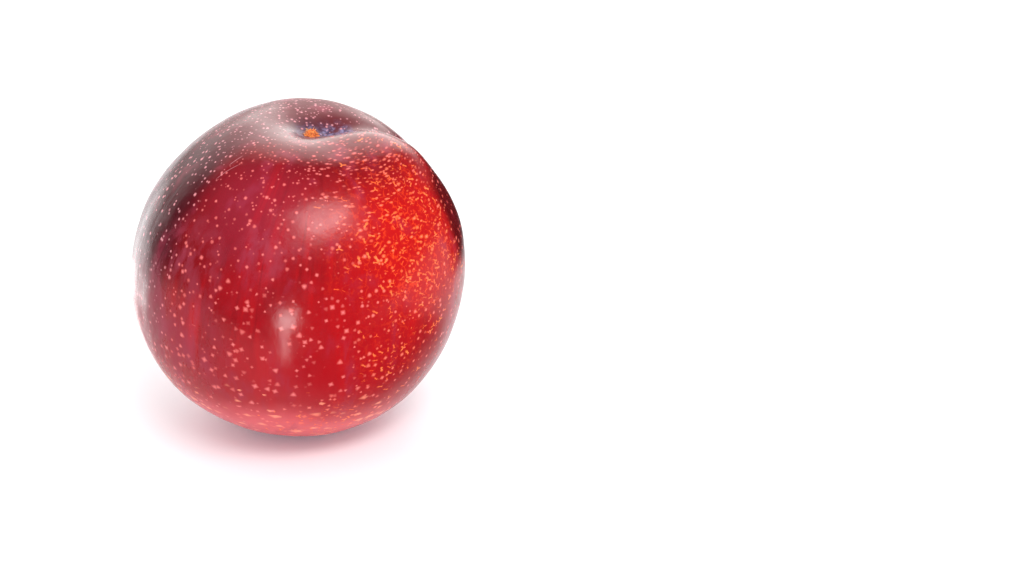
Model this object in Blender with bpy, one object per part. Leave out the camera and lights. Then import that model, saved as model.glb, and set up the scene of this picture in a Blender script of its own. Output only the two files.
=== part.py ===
"""A whole red plum, picked without its stalk, lying on a small flat spot.

Metres, +Z up. The origin is on the resting plane, under the middle of the fruit's box.
The fruit's own frame has the stem end at +Z and the suture, the seam between its two
cheeks, on its +X side. The placed fruit leans, as it came to rest on a table.
"""

import math

import bmesh
import bpy
from mathutils import Matrix, Vector

MM = 0.001

# Body: radii from the middle of the widest section, in millimetres
MEAN_RADIUS = 32.7
STEM_RISE = 33.4
BLOSSOM_DROP = 31.6
STEM_FULLNESS = 2.06
BLOSSOM_FULLNESS = 2.16
# Harmonics of the widest section: (waves round the fruit, share of the radius, phase in degrees)
SECTION_WAVES = ((1, 0.006, 120.0), (2, -0.012, 0.0), (3, 0.005, 40.0))
# Slow swellings and dents of the flesh: (polar, azimuth and spread in degrees, height in mm)
SWELLINGS = (
    (46.0, 136.0, 34.0, -1.9),
    (132.0, 195.0, 40.0, 1.3),
    (146.0, 290.0, 36.0, 1.1),
    (42.0, 8.0, 24.0, -1.0),
    (18.0, 322.0, 13.0, 1.0),
    (34.0, 340.0, 13.0, 1.1),
    (78.0, 334.0, 30.0, 0.6),
    (100.0, 80.0, 34.0, -0.4),
)

# Stem cavity: a wide bowl with a narrower throat, depths in millimetres
BOWL_DEPTH = 3.6
BOWL_ANGLE = math.radians(19.0)
THROAT_DEPTH = 1.5
THROAT_ANGLE = math.radians(7.0)

# Stem scar: the low ragged pad of torn fibres where the stalk was, in millimetres
SCAR_RADIUS = 1.35
SCAR_HEIGHT = 0.55
SCAR_POINTS = ((5, 0.20, 15.0), (8, 0.12, 70.0))
# The scar's side falls between these shares of its outline
SCAR_TOP = 0.55
SCAR_FOOT = 1.15

# Suture: a soft valley from the cavity to the blossom end, in millimetres
SUTURE_DEPTH_STEM = 2.2
SUTURE_DEPTH_BLOSSOM = 0.35
SUTURE_WIDTH_STEM = 4.2
SUTURE_WIDTH_BLOSSOM = 3.2
SUTURE_START = 6.0
# It shallows between these shares of the way from stem end to blossom end
SHALLOWING_FROM = 0.15
SHALLOWING_TO = 0.65

# Blossom end: a shallow dimple just off the axis, its place as polar and azimuth in degrees
DIMPLE_DEPTH = 0.75
DIMPLE_ANGLE = math.radians(5.5)
DIMPLE_PLACE = (173.0, 165.0)

# How the fruit lies: the suture's heading, then the lean of the stem end to +X and to -Y
SUTURE_HEADING = math.radians(23.0)
LEAN_RIGHT = math.radians(7.0)
LEAN_FRONT = math.radians(4.5)
FLAT_SPOT_DEPTH = 0.50

# Mesh: points round and down the fruit, packed closer at the suture and at both ends
SEGMENTS = 64
RINGS = 54
SUTURE_PACKING = 0.45
END_PACKING = 0.80

SKIN_COLOUR = (0.36, 0.012, 0.02, 1.0)
SKIN_ROUGHNESS = 0.3


def smoothstep(value, low, high):
    """0 below low, 1 above high and an even S between them."""
    t = min(1.0, max(0.0, (value - low) / (high - low)))
    return t * t * (3.0 - 2.0 * t)


def bell(value, width):
    """A bump of height 1 at 0 that has sunk to about a third at width."""
    return math.exp(-((value / width) ** 2))


def direction(polar, azimuth):
    return Vector(
        (
            math.sin(polar) * math.cos(azimuth),
            math.sin(polar) * math.sin(azimuth),
            math.cos(polar),
        )
    )


def towards(polar_degrees, azimuth_degrees):
    return direction(math.radians(polar_degrees), math.radians(azimuth_degrees))


def section_radius(azimuth):
    """Radius of the widest section, not quite round: fuller across the two cheeks."""
    waves = sum(
        share * math.cos(count * azimuth - math.radians(phase))
        for count, share, phase in SECTION_WAVES
    )
    return MEAN_RADIUS * (1.0 + waves)


def body_radius(polar, azimuth):
    """The fruit without its cavity, suture and dimple."""
    rise, fullness = (
        (STEM_RISE, STEM_FULLNESS)
        if polar < math.pi / 2
        else (BLOSSOM_DROP, BLOSSOM_FULLNESS)
    )
    across = (math.sin(polar) / section_radius(azimuth)) ** fullness
    along = (abs(math.cos(polar)) / rise) ** fullness
    here = direction(polar, azimuth)
    swelling = sum(
        height * bell(here.angle(towards(*place)), math.radians(spread))
        for *place, spread, height in SWELLINGS
    )
    return (across + along) ** (-1.0 / fullness) + swelling


def cavity_depth(polar):
    return BOWL_DEPTH * bell(polar, BOWL_ANGLE) + THROAT_DEPTH * bell(polar, THROAT_ANGLE)


def scar_height(polar, azimuth, floor_radius):
    """The torn pad at the stem end: level in the middle, falling at its pointed outline."""
    if polar > math.pi / 2:
        return 0.0
    points = sum(
        share * math.cos(count * azimuth - math.radians(phase))
        for count, share, phase in SCAR_POINTS
    )
    outline = SCAR_RADIUS * (1.0 + points)
    reach = floor_radius * math.sin(polar)
    return SCAR_HEIGHT * (1.0 - smoothstep(reach, SCAR_TOP * outline, SCAR_FOOT * outline))


def suture_depth(polar, azimuth, radius):
    """The valley on the +X side, deepest where it leaves the cavity."""
    along = polar / math.pi
    shallowing = smoothstep(along, SHALLOWING_FROM, SHALLOWING_TO)
    depth = SUTURE_DEPTH_STEM + (SUTURE_DEPTH_BLOSSOM - SUTURE_DEPTH_STEM) * shallowing
    width = SUTURE_WIDTH_STEM + (SUTURE_WIDTH_BLOSSOM - SUTURE_WIDTH_STEM) * along
    out = radius * math.sin(polar) * math.cos(azimuth)
    aside = radius * math.sin(polar) * math.sin(azimuth)
    return depth * bell(aside, width) * smoothstep(out, 0.0, SUTURE_START)


def dimple_depth(polar, azimuth):
    centre = towards(*DIMPLE_PLACE)
    return DIMPLE_DEPTH * bell(direction(polar, azimuth).angle(centre), DIMPLE_ANGLE)


def skin_point(polar, azimuth):
    """A point of the skin in the fruit's own frame, in metres."""
    radius = body_radius(polar, azimuth)
    floor_radius = radius - cavity_depth(polar)
    reached = (
        floor_radius
        + scar_height(polar, azimuth, floor_radius)
        - suture_depth(polar, azimuth, radius)
        - dimple_depth(polar, azimuth)
    )
    return direction(polar, azimuth) * (reached * MM)


def packed_azimuth(step):
    turn = 2.0 * math.pi * step / SEGMENTS
    return turn - SUTURE_PACKING * math.sin(turn)


def packed_polar(step):
    share = step / RINGS
    return math.pi * (share - END_PACKING * math.sin(2.0 * math.pi * share) / (2.0 * math.pi))


def add_rings(mesh):
    """The skin from the stem end down to the blossom end, as rings joined by quads."""
    stem_end = mesh.verts.new(skin_point(0.0, 0.0))
    rings = [
        [
            mesh.verts.new(skin_point(packed_polar(down), packed_azimuth(round_step)))
            for round_step in range(SEGMENTS)
        ]
        for down in range(1, RINGS)
    ]
    blossom_end = mesh.verts.new(skin_point(math.pi, 0.0))
    for i in range(SEGMENTS):
        j = (i + 1) % SEGMENTS
        mesh.faces.new((stem_end, rings[0][i], rings[0][j]))
        mesh.faces.new((blossom_end, rings[-1][j], rings[-1][i]))
        for upper, lower in zip(rings, rings[1:]):
            mesh.faces.new((upper[i], lower[i], lower[j], upper[j]))


def lay_down(mesh):
    """Turns the suture to its heading and leans the fruit as it lies."""
    lean = Matrix.Rotation(LEAN_FRONT, 4, "X") @ Matrix.Rotation(LEAN_RIGHT, 4, "Y")
    mesh.transform(lean @ Matrix.Rotation(SUTURE_HEADING, 4, "Z"))


def press_flat_spot(mesh):
    """Cuts the underside level where the fruit lies, and puts that level at height 0."""
    lowest = min(vertex.co.z for vertex in mesh.verts)
    level = lowest + FLAT_SPOT_DEPTH * MM
    cut = bmesh.ops.bisect_plane(
        mesh,
        geom=mesh.verts[:] + mesh.edges[:] + mesh.faces[:],
        plane_co=(0.0, 0.0, level),
        plane_no=(0.0, 0.0, -1.0),
        clear_outer=True,
    )
    rim = [item for item in cut["geom_cut"] if isinstance(item, bmesh.types.BMEdge)]
    bmesh.ops.contextual_create(mesh, geom=rim)
    mesh.transform(Matrix.Translation((0.0, 0.0, -level)))


def centre_on_origin(mesh):
    """Moves the fruit sideways so that the middle of its box stands over the origin."""
    middle = [
        (
            min(vertex.co[axis] for vertex in mesh.verts)
            + max(vertex.co[axis] for vertex in mesh.verts)
        )
        / 2.0
        for axis in range(2)
    ]
    mesh.transform(Matrix.Translation((-middle[0], -middle[1], 0.0)))


def skin_material():
    material = bpy.data.materials.new("plum_skin")
    material.use_nodes = True
    shader = material.node_tree.nodes["Principled BSDF"]
    shader.inputs["Base Color"].default_value = SKIN_COLOUR
    shader.inputs["Roughness"].default_value = SKIN_ROUGHNESS
    shader.inputs["Metallic"].default_value = 0.0
    return material


def make_plum():
    mesh = bmesh.new()
    add_rings(mesh)
    lay_down(mesh)
    press_flat_spot(mesh)
    centre_on_origin(mesh)
    bmesh.ops.recalc_face_normals(mesh, faces=mesh.faces[:])
    data = bpy.data.meshes.new("plum")
    mesh.to_mesh(data)
    mesh.free()
    data.materials.append(skin_material())
    data.shade_smooth()
    plum = bpy.data.objects.new("plum", data)
    bpy.context.scene.collection.objects.link(plum)
    return plum


def main():
    for old in list(bpy.data.objects):
        bpy.data.objects.remove(old)
    make_plum()


main()
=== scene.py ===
"""The looks of a whole red plum, lying on a pale table.

Metres, +Z up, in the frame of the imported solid. The skin is made again from the fruit's own
formula, on a much finer net of points, and the torn scar of the stalk and the dried point at
the blossom end are pieces of their own. Sizes on the fruit are written in millimetres.
"""

import math
from typing import NamedTuple

import bmesh
import bpy
import numpy as np
from mathutils import Euler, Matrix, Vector


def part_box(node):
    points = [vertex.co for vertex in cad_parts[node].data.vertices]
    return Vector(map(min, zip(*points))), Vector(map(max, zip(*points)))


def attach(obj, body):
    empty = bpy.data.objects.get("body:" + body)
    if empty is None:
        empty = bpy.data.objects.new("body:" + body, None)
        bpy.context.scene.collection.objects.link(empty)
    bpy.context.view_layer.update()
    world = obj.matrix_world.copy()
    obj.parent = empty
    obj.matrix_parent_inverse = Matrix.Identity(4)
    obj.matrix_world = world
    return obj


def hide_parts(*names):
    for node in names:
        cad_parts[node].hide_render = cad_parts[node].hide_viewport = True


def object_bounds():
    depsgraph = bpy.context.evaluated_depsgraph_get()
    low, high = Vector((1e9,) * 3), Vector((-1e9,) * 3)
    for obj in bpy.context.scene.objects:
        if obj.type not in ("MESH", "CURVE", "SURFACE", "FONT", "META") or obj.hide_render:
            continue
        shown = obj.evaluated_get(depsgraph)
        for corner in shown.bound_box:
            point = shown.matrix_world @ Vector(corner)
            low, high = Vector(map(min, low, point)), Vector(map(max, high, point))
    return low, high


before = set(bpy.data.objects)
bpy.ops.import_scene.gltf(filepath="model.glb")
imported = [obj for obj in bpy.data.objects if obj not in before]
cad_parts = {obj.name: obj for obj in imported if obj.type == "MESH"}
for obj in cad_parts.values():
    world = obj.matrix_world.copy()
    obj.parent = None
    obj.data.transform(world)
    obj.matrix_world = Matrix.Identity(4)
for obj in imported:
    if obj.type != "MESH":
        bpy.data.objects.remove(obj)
cad_low, cad_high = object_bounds()

MM = 0.001
UP = Vector((0.0, 0.0, 1.0))

# Body: radii from the middle of the widest section, in millimetres
MEAN_RADIUS = 32.7
STEM_RISE = 33.4
BLOSSOM_DROP = 31.6
STEM_FULLNESS = 2.06
BLOSSOM_FULLNESS = 2.16
# Harmonics of the widest section: (waves round the fruit, share of the radius, phase in degrees)
SECTION_WAVES = ((1, 0.006, 120.0), (2, -0.012, 0.0), (3, 0.005, 40.0))
# Slow swellings and dents of the flesh: (polar, azimuth and spread in degrees, height in mm)
SWELLINGS = (
    (46.0, 136.0, 34.0, -1.9),
    (132.0, 195.0, 40.0, 1.3),
    (146.0, 290.0, 36.0, 1.1),
    (42.0, 8.0, 24.0, -1.0),
    (18.0, 322.0, 13.0, 1.0),
    (34.0, 340.0, 13.0, 1.1),
    (78.0, 334.0, 30.0, 0.6),
    (100.0, 80.0, 34.0, -0.4),
)

# Stem cavity: a wide bowl with a narrower throat
BOWL_DEPTH = 3.6
BOWL_ANGLE = math.radians(19.0)
THROAT_DEPTH = 1.5
THROAT_ANGLE = math.radians(7.0)

# Stem scar: the low ragged pad of torn fibres where the stalk was
SCAR_RADIUS = 1.35
SCAR_CREST = 0.85
SCAR_POINTS = ((5, 0.20, 15.0), (8, 0.12, 70.0))
SCAR_TOP = 0.55
SCAR_FOOT = 1.15

# Suture: a soft valley from the cavity to the blossom end, with a fine crease along its bottom
SUTURE_DEPTH_STEM = 2.2
SUTURE_DEPTH_BLOSSOM = 0.35
SUTURE_WIDTH_STEM = 4.2
SUTURE_WIDTH_BLOSSOM = 3.2
SUTURE_START = 6.0
SHALLOWING_FROM = 0.15
SHALLOWING_TO = 0.65
CREASE_DEPTH = 0.10
CREASE_WIDTH = 0.40

# Blossom end: a shallow dimple just off the axis, its place as polar and azimuth in degrees
DIMPLE_DEPTH = 0.75
DIMPLE_ANGLE = math.radians(5.5)
DIMPLE_PLACE = (173.0, 165.0)

# How the fruit lies: the suture's heading, then the lean of the stem end to +X and to -Y
SUTURE_HEADING = math.radians(23.0)
LEAN_RIGHT = math.radians(7.0)
LEAN_FRONT = math.radians(4.5)
FLAT_SPOT_DEPTH = 0.50

# Unevenness of ripe flesh under the skin, which breaks up the reflections
WAVE_COUNT = 26
RIPPLE_HEIGHT = 0.009
RIPPLE_LENGTHS = (7.0, 17.0)
RIPPLE_SEED = 11

# The skin's net of points, packed closer at the suture and at both ends
COLUMNS = 380
ROWS = 256
SUTURE_PACKING = 0.70
END_PACKING = 0.70
SEAM_SHARE = 0.25

# Relief of the scar: a ring of cut sap bundles round a sunken pith, crumbled all over
SCAR_REACH = 1.9
SCAR_RINGS = 34
SCAR_COLUMNS = 120
SCAR_SINK = 0.14
SCAR_ROOT = 1.0
BUNDLE_COUNT = 9
BUNDLE_RING = 0.66
BUNDLE_WIDTH = 0.17
BUNDLE_HEIGHT = 0.34
PITH_DEPTH = 0.22
PITH_WIDTH = 0.26
CRUMB_HEIGHT = 0.018333
CRUMB_LENGTHS = (0.16, 0.5)
CRUMB_SEED = 5

# Torn fibres that stand out of the scar, their thickness and root in shares of the radius
FIBRE_COUNT = 54
FIBRE_SIDES = 5
FIBRE_RINGS = 5
FIBRE_SEED = 3
FIBRE_RADIUS = 0.07
FIBRE_THICKNESS = (0.6, 1.3)
FIBRE_TAPER = 0.75
FIBRE_LENGTH = (0.25, 0.80)
FIBRE_ROOT = 2.0
# A fibre's heading: how far it stands up, strays, curls outwards and droops
FIBRE_STAND = 1.25
FIBRE_STRAY = 0.25
FIBRE_CURL = 0.5
FIBRE_DROOP = 0.4

# Dried point where the flower sat, in the dimple at the blossom end
NIB_REACH = 1.15
NIB_HEIGHT = 0.55
NIB_STEEPNESS = 1.4
NIB_RINGS = 22
NIB_COLUMNS = 60
NIB_ROUND = 0.72
NIB_LOBES = ((5, 0.16, 0.0), (3, 0.07, -57.3))
NIB_FOLD_COUNT = 11
NIB_FOLD_SHARE = 0.25
NIB_FOLD_START = (0.1, 0.5)
NIB_SINK = 0.12
NIB_SPAN = 1.4
NIB_ROOT = 0.6

# The photograph: its frame in pixels, and where the middle of the plum lies in it
FRAME_WIDTH = 1024
FRAME_HEIGHT = 576
PLUM_MIDDLE = (298.5, 267.5)
CAMERA_ELEVATION = math.radians(24.0)
CAMERA_DISTANCE = 0.57
PIXELS_PER_MM = 5.08
SENSOR_WIDTH = 36.0

# Stage and light, in metres: the sheet's left, right, front and far edges
TABLE_EDGES = (-0.32, 1.2, -0.09, 1.5)
# Painted light: a faint glow of the sheet that lifts its shadows
TABLE_PAINTED_GLOW = 0.14
# Black cards: (name, place, turn in degrees, width and depth, how far the edges fade)
FLAGS = (
    ("back_flag", (0.062, 0.056, 0.034), (90.0, 0.0, -48.0), (0.085, 0.066), 0.014),
    ("foot_flag", (0.054, -0.052, 0.0008), (0.0, 0.0, 45.0), (0.120, 0.104), 0.020),
)
KEY_HEADING = (0.310, -0.555, 0.772)
KEY_DISTANCE = 0.9
KEY_SIZE = (0.60, 0.25)
KEY_RADIANCE = 9.0
PLUM_HEART = (0.0, 0.0, 0.0315)
# Cards that only reflections see: (name, place, what they face, width and height, radiance)
CARDS = (
    ("key halo", (0.290, -0.550, 0.740), PLUM_HEART, (0.98, 0.52), 3.2),
    ("key core", (0.335, -0.555, 0.680), PLUM_HEART, (0.40, 0.17), 7.5),
    ("rim card", (-0.0745, 0.0385, 0.028), (-0.033, 0.0, 0.028), (0.042, 0.056), 1.9),
    ("floor card", (-0.070, 0.045, 0.001), (-0.070, 0.045, 1.0), (0.075, 0.065), 1.0),
    ("low card", (-0.0024, -0.060, 0.0278), (-0.0024, 0.0, 0.0278), (0.0100, 0.0090), 22.0),
    ("low strip", (-0.0034, -0.060, 0.0140), (-0.0034, 0.0, 0.0140), (0.0030, 0.0220), 17.0),
)
# What reflections see further off: a bright backdrop in a dim room. A pair says where one
# thing turns into the next, as the share of a heading that points at the backdrop, right or up
BACKDROP_HEADING = Vector((-0.05, 0.97, 0.24)).normalized()
BACKDROP_EDGE = (0.52, 0.74)
BACKDROP_WIDTH = (-0.5, 0.2)
BACKDROP_END = (0.64, 0.44)
BACKDROP_HEIGHT = (0.0, 0.32)
BACKDROP_LOW = 0.75
BACKDROP_LEFT = 2.0
BACKDROP_RIGHT = 6.2
ROOM_REFLECTED = 0.10
# The room's soft light, from the camera's side and from the far side
ROOM_DEPTH = (-0.8, 0.8)
ROOM_NEAR = 1.08
ROOM_FAR = 1.38


def smoothstep(value, low, high):
    """0 below low, 1 above high and an even S between them."""
    t = np.clip((value - low) / (high - low), 0.0, 1.0)
    return t * t * (3.0 - 2.0 * t)


def bell(value, width):
    """A bump of height 1 at 0 that has sunk to about a third at width."""
    return np.exp(-((value / width) ** 2))


def direction(polar, azimuth):
    return np.stack(
        (
            np.sin(polar) * np.cos(azimuth),
            np.sin(polar) * np.sin(azimuth),
            np.cos(polar) + 0.0 * azimuth,
        ),
        axis=-1,
    )


def towards(polar_degrees, azimuth_degrees):
    return direction(math.radians(polar_degrees), math.radians(azimuth_degrees))


def angle_between(here, there):
    return np.arccos(np.clip(here @ there, -1.0, 1.0))


def lobes(turn, harmonics):
    """Waves round an outline, each given as (count, share, phase in degrees)."""
    return sum(
        share * np.cos(count * turn - math.radians(phase)) for count, share, phase in harmonics
    )


def section_radius(azimuth):
    return MEAN_RADIUS * (1.0 + lobes(azimuth, SECTION_WAVES))


def body_radius(polar, azimuth):
    """The fruit without its cavity, suture and dimple."""
    upper = polar < math.pi / 2
    rise = np.where(upper, STEM_RISE, BLOSSOM_DROP)
    fullness = np.where(upper, STEM_FULLNESS, BLOSSOM_FULLNESS)
    across = (np.sin(polar) / section_radius(azimuth)) ** fullness
    along = (np.abs(np.cos(polar)) / rise) ** fullness
    here = direction(polar, azimuth)
    swelling = sum(
        height * bell(angle_between(here, towards(*place)), math.radians(spread))
        for *place, spread, height in SWELLINGS
    )
    return (across + along) ** (-1.0 / fullness) + swelling


def cavity_depth(polar):
    return BOWL_DEPTH * bell(polar, BOWL_ANGLE) + THROAT_DEPTH * bell(polar, THROAT_ANGLE)


def suture_depth(polar, azimuth, radius):
    """The valley on the +X side, with the crease along its bottom."""
    along = polar / math.pi
    shallowing = smoothstep(along, SHALLOWING_FROM, SHALLOWING_TO)
    depth = SUTURE_DEPTH_STEM + (SUTURE_DEPTH_BLOSSOM - SUTURE_DEPTH_STEM) * shallowing
    width = SUTURE_WIDTH_STEM + (SUTURE_WIDTH_BLOSSOM - SUTURE_WIDTH_STEM) * along
    out = radius * np.sin(polar) * np.cos(azimuth)
    aside = radius * np.sin(polar) * np.sin(azimuth)
    valley = depth * bell(aside, width) + CREASE_DEPTH * bell(aside, CREASE_WIDTH)
    return valley * smoothstep(out, 0.0, SUTURE_START)


def dimple_depth(polar, azimuth):
    centre = towards(*DIMPLE_PLACE)
    return DIMPLE_DEPTH * bell(angle_between(direction(polar, azimuth), centre), DIMPLE_ANGLE)


def waves(points, seed, lengths):
    """The sum of waves of height 1 and of several lengths, which cross in all directions."""
    chance = np.random.default_rng(seed)
    height = np.zeros(points.shape[:-1])
    for _ in range(WAVE_COUNT):
        heading = chance.normal(size=3)
        heading /= np.linalg.norm(heading)
        length = chance.uniform(*lengths)
        phase = chance.uniform(0.0, 2.0 * math.pi)
        height += np.sin(points @ heading * (2.0 * math.pi / length) + phase)
    return height


def ripple(points):
    return RIPPLE_HEIGHT * waves(points, RIPPLE_SEED, RIPPLE_LENGTHS)


def floor_radius(polar, azimuth):
    """Radius of the skin with nothing on it: body, cavity, suture and dimple."""
    radius = body_radius(polar, azimuth)
    return (
        radius
        - cavity_depth(polar)
        - suture_depth(polar, azimuth, radius)
        - dimple_depth(polar, azimuth)
    )


def skin_points(polar, azimuth):
    """Points of the skin in the fruit's own frame, in millimetres."""
    here = direction(polar, azimuth)
    points = here * floor_radius(polar, azimuth)[..., None]
    return points + here * ripple(points)[..., None]


def lean_matrix():
    """Turns the fruit's own frame to how it lies, as a 3 by 3 array."""
    lean = Euler((LEAN_FRONT, 0.0, 0.0)).to_matrix() @ Euler((0.0, LEAN_RIGHT, 0.0)).to_matrix()
    return np.array(lean @ Euler((0.0, 0.0, SUTURE_HEADING)).to_matrix())


class Lie:
    """Carries points from the fruit's own frame, in millimetres, to the part's, in metres."""

    def __init__(self, points):
        self.turn = lean_matrix()
        turned = self.rest(points)
        self.level = turned[:, 2].min() + FLAT_SPOT_DEPTH
        turned[:, 2] = np.maximum(turned[:, 2], self.level)
        self.low = turned.min(axis=0)
        self.high = turned.max(axis=0)

    def rest(self, points):
        return points @ self.turn.T

    def place(self, points):
        """The lying fruit's box becomes the solid's box, which it misses by hundredths."""
        low, high = (np.array(corner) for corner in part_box("plum"))
        turned = self.rest(points)
        turned[:, 2] = np.maximum(turned[:, 2], self.level)
        return low + (turned - self.low) * ((high - low) / (self.high - self.low))


def cap_points(centre, reach, rings, columns, height):
    """A round patch of skin about one direction, raised by height(away, turn), its middle first."""
    aside = np.cross(centre, (0.0, 1.0, 0.0))
    aside /= np.linalg.norm(aside)
    ahead = np.cross(centre, aside)
    away, turn = np.meshgrid(
        reach * np.arange(rings + 1) / rings,
        2.0 * math.pi * np.arange(columns) / columns,
        indexing="ij",
    )
    heading = (
        centre * MEAN_RADIUS
        + aside * (away * np.cos(turn))[..., None]
        + ahead * (away * np.sin(turn))[..., None]
    )
    heading /= np.linalg.norm(heading, axis=-1, keepdims=True)
    polar = np.arccos(np.clip(heading[..., 2], -1.0, 1.0))
    azimuth = np.arctan2(heading[..., 1], heading[..., 0])
    points = skin_points(polar, azimuth) + centre * height(away, turn)[..., None]
    return np.vstack((points[0, :1], points[1:].reshape(-1, 3)))


def make_cap(name, lie, centre, points, columns, sink):
    """Closes a patch with a root below the skin, and lays it on the fruit."""
    root = points[0] - centre * sink
    last = len(points)
    rings = (last - 1) // columns
    faces = []
    for column in range(columns):
        following = (column + 1) % columns
        faces.append((0, 1 + column, 1 + following))
        for row in range(rings - 1):
            inner = 1 + row * columns
            outer = inner + columns
            faces.append((inner + column, outer + column, outer + following, inner + following))
        border = 1 + (rings - 1) * columns
        faces.append((last, border + following, border + column))
    return mesh_object(name, lie.place(np.vstack((points, root))), faces)


def scar_outline(turn):
    return SCAR_RADIUS * (1.0 + lobes(turn, SCAR_POINTS))


def scar_height(away, turn):
    """The torn pad: its ring of bundles, sunken pith and crumbs, with its edge below the skin."""
    outline = scar_outline(turn)
    pad = SCAR_CREST * (1.0 - smoothstep(away, SCAR_TOP * outline, SCAR_FOOT * outline))
    nearest = np.abs((turn * BUNDLE_COUNT / (2.0 * math.pi)) % 1.0 - 0.5) * 2.0
    along_ring = (1.0 - nearest) * math.pi * BUNDLE_RING / BUNDLE_COUNT
    bundle = bell(np.hypot(away - BUNDLE_RING, along_ring), BUNDLE_WIDTH)
    flat = np.stack((away * np.cos(turn), away * np.sin(turn), 0.0 * away), axis=-1)
    crumbs = CRUMB_HEIGHT * waves(flat, CRUMB_SEED, CRUMB_LENGTHS)
    relief = BUNDLE_HEIGHT * bundle - PITH_DEPTH * bell(away, PITH_WIDTH) + crumbs
    border = smoothstep(away, SCAR_FOOT * outline, SCAR_FOOT * outline + SCAR_SINK)
    return pad + relief * (1.0 - border) - SCAR_SINK * border


def add_fibre(mesh, root, heading, bend, length, radius):
    """A torn fibre: a pointed tube that bends over, rooted in what it stands on."""
    sides = [2.0 * math.pi * side / FIBRE_SIDES for side in range(FIBRE_SIDES)]
    rings = []
    for step in range(FIBRE_RINGS):
        share = step / FIBRE_RINGS
        middle = root + heading * (length * share) + bend * (length * share**2)
        ahead = (heading + bend * (2.0 * share)).normalized()
        aside = ahead.orthogonal().normalized()
        beside = ahead.cross(aside)
        wide = radius * (1.0 - FIBRE_TAPER * share)
        rings.append(
            [
                mesh.verts.new(middle + aside * (wide * math.cos(a)) + beside * (wide * math.sin(a)))
                for a in sides
            ]
        )
    tip = mesh.verts.new(root + heading * length + bend * length)
    mesh.faces.new(rings[0][::-1])
    for side in range(FIBRE_SIDES):
        following = (side + 1) % FIBRE_SIDES
        for lower, upper in zip(rings, rings[1:]):
            mesh.faces.new((lower[side], lower[following], upper[following], upper[side]))
        mesh.faces.new((rings[-1][side], rings[-1][following], tip))


def make_fibres(lie):
    """Fibres all over the scar, the outer ones combed outwards, as the stalk left them."""
    chance = np.random.default_rng(FIBRE_SEED)
    mesh = bmesh.new()
    floor = float(floor_radius(np.zeros(1), np.zeros(1))[0])
    for _ in range(FIBRE_COUNT):
        turn = chance.uniform(0.0, 2.0 * math.pi)
        away = SCAR_RADIUS * math.sqrt(chance.uniform(0.02, 1.0))
        length = chance.uniform(*FIBRE_LENGTH)
        radius = FIBRE_RADIUS * chance.uniform(*FIBRE_THICKNESS)
        outward = Vector((math.cos(turn), math.sin(turn), 0.0))
        lean = away / SCAR_RADIUS
        stray = Vector(chance.normal(scale=FIBRE_STRAY, size=3).tolist())
        heading = (UP * (FIBRE_STAND - lean) + outward * lean + stray).normalized()
        bend = outward * chance.uniform(0.0, FIBRE_CURL) - UP * chance.uniform(0.0, FIBRE_DROOP)
        height = float(scar_height(np.array(away), np.array(turn)))
        root = outward * away + UP * (floor + height - FIBRE_ROOT * radius)
        add_fibre(mesh, root, heading, bend, length, radius)
    data = bpy.data.meshes.new("scar_fibres")
    mesh.to_mesh(data)
    mesh.free()
    points = np.array([vertex.co for vertex in data.vertices])
    for vertex, point in zip(data.vertices, lie.place(points)):
        vertex.co = point
    data.shade_smooth()
    fibres = bpy.data.objects.new("scar_fibres", data)
    bpy.context.scene.collection.objects.link(fibres)
    return fibres


def nib_height(away, turn):
    """A small dry cone with folds, its edge below the skin."""
    outline = NIB_REACH * (NIB_ROUND + lobes(turn, NIB_LOBES))
    cone = NIB_HEIGHT * (1.0 - smoothstep(away, 0.0, outline)) ** NIB_STEEPNESS
    folds = NIB_FOLD_SHARE * np.cos(NIB_FOLD_COUNT * turn) * smoothstep(away, *NIB_FOLD_START)
    return cone * (1.0 + folds) - NIB_SINK * smoothstep(away, outline, outline + NIB_SINK)


def packed_azimuth(step):
    turn = 2.0 * math.pi * step / COLUMNS
    return turn - SUTURE_PACKING * np.sin(turn)


def packed_polar(step):
    share = step / ROWS
    return math.pi * (share - END_PACKING * np.sin(2.0 * math.pi * share) / (2.0 * math.pi))


def mesh_object(name, points, faces):
    mesh = bpy.data.meshes.new(name)
    mesh.from_pydata(points.tolist(), [], faces)
    mesh.shade_smooth()
    piece = bpy.data.objects.new(name, mesh)
    bpy.context.scene.collection.objects.link(piece)
    return piece


def lay_map(mesh):
    """A map of the skin for baking: columns across, rows down, its seam at the back."""
    seam = round(SEAM_SHARE * COLUMNS)
    layer = mesh.uv_layers.new(name="OFBake")
    last = len(mesh.vertices) - 1
    for polygon in mesh.polygons:
        corners = [mesh.loops[loop].vertex_index for loop in polygon.loop_indices]
        ring = [(corner - 1) % COLUMNS for corner in corners if 0 < corner < last]
        across = [(column - seam) % COLUMNS for column in ring]
        wraps = max(across) - min(across) > COLUMNS / 2
        across = [column + COLUMNS if wraps and column == 0 else column for column in across]
        middle = sum(across) / len(across)
        columns = iter(across)
        for loop, corner in zip(polygon.loop_indices, corners):
            if 0 < corner < last:
                row = 1 + (corner - 1) // COLUMNS
                layer.data[loop].uv = (next(columns) / COLUMNS, 1.0 - row / ROWS)
            else:
                layer.data[loop].uv = (middle / COLUMNS, 1.0 if corner == 0 else 0.0)


def make_skin(lie, points):
    def ring(row, column):
        return 1 + (row - 1) * COLUMNS + column % COLUMNS

    last = len(points) - 1
    faces = []
    for column in range(COLUMNS):
        faces.append((0, ring(1, column), ring(1, column + 1)))
        faces.append((last, ring(ROWS - 1, column + 1), ring(ROWS - 1, column)))
        faces.extend(
            (
                ring(row, column),
                ring(row + 1, column),
                ring(row + 1, column + 1),
                ring(row, column + 1),
            )
            for row in range(1, ROWS - 1)
        )
    skin = mesh_object("plum_skin", lie.place(points), faces)
    lay_map(skin.data)
    return skin


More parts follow.
